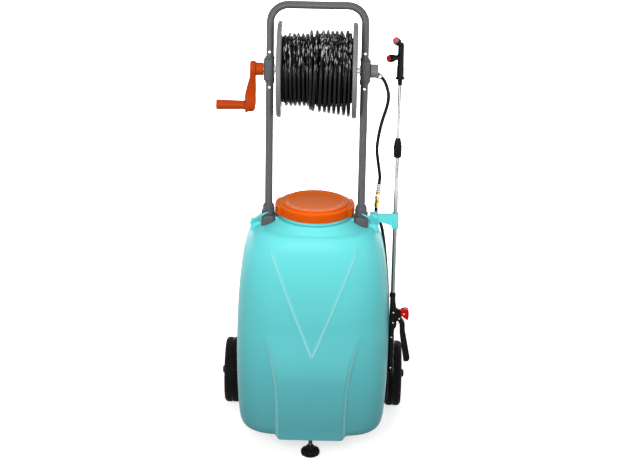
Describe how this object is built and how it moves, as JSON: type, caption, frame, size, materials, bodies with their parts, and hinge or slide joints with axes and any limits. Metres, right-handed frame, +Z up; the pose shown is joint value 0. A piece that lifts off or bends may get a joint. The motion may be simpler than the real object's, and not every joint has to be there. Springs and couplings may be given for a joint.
{
  "type": "battery trolley sprayer",
  "caption": "Wheeled garden sprayer: moulded tank with screw lid on a tube-handled trolley, with a cranked hose reel, pump housing and a telescopic spray lance in a clip.",
  "frame": {"origin": "on the floor, under the middle of the whole machine", "axes": "+Z up, +Y towards the wheels and pump housing, so the front of the tank faces -Y; +X towards the spray lance"},
  "size_m": [0.5653, 0.5, 1.3125],
  "materials": {
    "tank_plastic": "rotomoulded turquoise plastic, satin",
    "orange_plastic": "moulded orange plastic",
    "frame_paint": "grey powder coat on steel tube",
    "socket_plastic": "dark grey moulded plastic",
    "reel_plastic": "grey moulded plastic",
    "black_plastic": "black moulded plastic",
    "battery_case": "black battery case",
    "red_plastic": "moulded red plastic",
    "nylon": "natural nylon",
    "hose_rubber": "black hose, slightly glossy",
    "pad_rubber": "black rubber",
    "tyre_rubber": "black tyre rubber",
    "brass": "turned brass",
    "zinc": "zinc-plated steel",
    "lance_steel": "bright stainless tube",
    "nickel": "nickel-plated brass"
  },
  "bodies": {
    "trolley": {"tank": "tank_plastic", "filler_strainer": "black_plastic", "lance_holder": "tank_plastic", "handle_socket_left": "socket_plastic", "handle_socket_right": "socket_plastic", "upright_left": "frame_paint", "upright_right": "frame_paint", "handle_bar": "frame_paint", "reel_bracket_left": "reel_plastic", "reel_bracket_right": "reel_plastic", "frame_screws": "zinc", "reel_bush_left": "nylon", "reel_bush_right": "nylon", "swivel_inlet": "reel_plastic", "feed_hose": "hose_rubber", "hose_ferrule": "zinc", "coupler_body": "brass", "supply_hose": "hose_rubber", "hose_port": "black_plastic", "pump_housing": "black_plastic", "axle_arm_left": "black_plastic", "axle_arm_right": "black_plastic", "pump_head": "black_plastic", "pump_motor": "zinc", "battery": "battery_case", "charge_socket": "black_plastic", "axle": "zinc", "axle_caps": "black_plastic", "foot_insert": "brass"},
    "reel": {"reel_drum": "reel_plastic", "flange_left": "reel_plastic", "flange_right": "reel_plastic", "reel_shaft": "zinc", "reel_hose": "hose_rubber", "hose_end": "brass", "crank_arm": "orange_plastic", "crank_pin": "zinc"},
    "crank_grip": {"crank_grip": "orange_plastic"},
    "wheel_left": {"tyre_left": "tyre_rubber", "rim_left": "black_plastic"},
    "wheel_right": {"tyre_right": "tyre_rubber", "rim_right": "black_plastic"},
    "lid_carrier": {"lid_gasket": "pad_rubber"},
    "lid": {"lid": "orange_plastic"},
    "foot_pad": {"foot_pad": "pad_rubber"},
    "foot_stem": {"foot_stem": "zinc"},
    "coupler_sleeve": {"coupler_sleeve": "nickel"},
    "power_switch": {"power_switch": "red_plastic"},
    "lance": {"gun_body": "black_plastic", "trigger_pin": "zinc", "lock_pin": "zinc", "outer_tube": "lance_steel"},
    "trigger": {"trigger": "black_plastic"},
    "trigger_lock": {"trigger_lock": "red_plastic"},
    "valve_stem": {"valve_stem": "zinc"},
    "collet_nut": {"collet_nut": "black_plastic"},
    "inner_lance": {"inner_tube": "lance_steel", "nozzle_head": "black_plastic"},
    "nozzle_cap_top": {"nozzle_cap_top": "red_plastic"},
    "nozzle_cap_side": {"nozzle_cap_side": "red_plastic"}
  },
  "joints": [
    {"name": "reel_spin", "type": "hinge", "parent": "trolley", "child": "reel", "pos_m": [0, -0.062, 1.122], "axis": [1, 0, 0], "continuous": true},
    {"name": "grip_spin", "type": "hinge", "parent": "reel", "child": "crank_grip", "pos_m": [-0.24, -0.062, 1.017], "axis": [1, 0, 0], "continuous": true},
    {"name": "wheel_left_spin", "type": "hinge", "parent": "trolley", "child": "wheel_left", "pos_m": [-0.245, 0.15, 0.1], "axis": [1, 0, 0], "continuous": true},
    {"name": "wheel_right_spin", "type": "hinge", "parent": "trolley", "child": "wheel_right", "pos_m": [0.245, 0.15, 0.1], "axis": [1, 0, 0], "continuous": true},
    {"name": "lid_lift", "type": "slide", "parent": "trolley", "child": "lid_carrier", "axis": [0, 0, 1], "range_m": [0, 0.0151]},
    {"name": "lid_turn", "type": "hinge", "parent": "lid_carrier", "child": "lid", "pos_m": [0, -0.07, 0.72], "axis": [0, 0, 1], "range_deg": [0, 540]},
    {"name": "foot_travel", "type": "slide", "parent": "trolley", "child": "foot_pad", "axis": [0, 0, -1], "range_m": [-0.008, 0.012]},
    {"name": "foot_turn", "type": "hinge", "parent": "foot_pad", "child": "foot_stem", "pos_m": [0, -0.205, 0.05], "axis": [0, 0, -1], "range_deg": [-1700, 2520]},
    {"name": "sleeve_slide", "type": "slide", "parent": "trolley", "child": "coupler_sleeve", "axis": [0.0808, 0, 0.9967], "range_m": [0, 0.003], "stiffness_N_per_m": 300, "springref_m": -0.002},
    {"name": "switch_rock", "type": "hinge", "parent": "trolley", "child": "power_switch", "pos_m": [0.07, 0.1843, 0.255], "axis": [1, 0, 0], "range_deg": [0, 18]},
    {"name": "lance_out", "type": "slide", "parent": "trolley", "child": "lance", "axis": [1, 0, 0], "range_m": [0, 0.06]},
    {"name": "trigger_squeeze", "type": "hinge", "parent": "lance", "child": "trigger", "pos_m": [0.25, -0.08, 0.388], "axis": [0, 1, 0], "range_deg": [0, 10.5], "stiffness_Nm_per_rad": 2, "springref_deg": -8.59},
    {"name": "valve_push", "type": "slide", "parent": "lance", "child": "valve_stem", "axis": [-1, 0, 0], "range_m": [0, 0.0037]},
    {"name": "lock_swing", "type": "hinge", "parent": "lance", "child": "trigger_lock", "pos_m": [0.263, -0.08, 0.403], "axis": [0, 1, 0], "range_deg": [0, 25]},
    {"name": "nut_turn", "type": "hinge", "parent": "lance", "child": "collet_nut", "pos_m": [0.229, -0.08, 0.9], "axis": [0, 0, 1], "range_deg": [0, 120]},
    {"name": "lance_extend", "type": "slide", "parent": "lance", "child": "inner_lance", "axis": [0, 0, 1], "range_m": [-0.14, 0.17]},
    {"name": "cap_top_turn", "type": "hinge", "parent": "inner_lance", "child": "nozzle_cap_top", "pos_m": [0.229, -0.08, 1.201], "axis": [-0.6519, -0.304, 0.6947], "range_deg": [0, 270]},
    {"name": "cap_side_turn", "type": "hinge", "parent": "inner_lance", "child": "nozzle_cap_side", "pos_m": [0.229, -0.08, 1.169], "axis": [-0.9051, -0.422, -0.0523], "range_deg": [0, 270]}
  ],
  "couplings": [
    {"joint": "lid_lift", "follows": "lid_turn", "m_per_rad": 0.0015915},
    {"joint": "foot_turn", "follows": "foot_travel", "rad_per_m": 3590.4},
    {"joint": "valve_push", "follows": "trigger_squeeze", "m_per_rad": 0.0197}
  ]
}
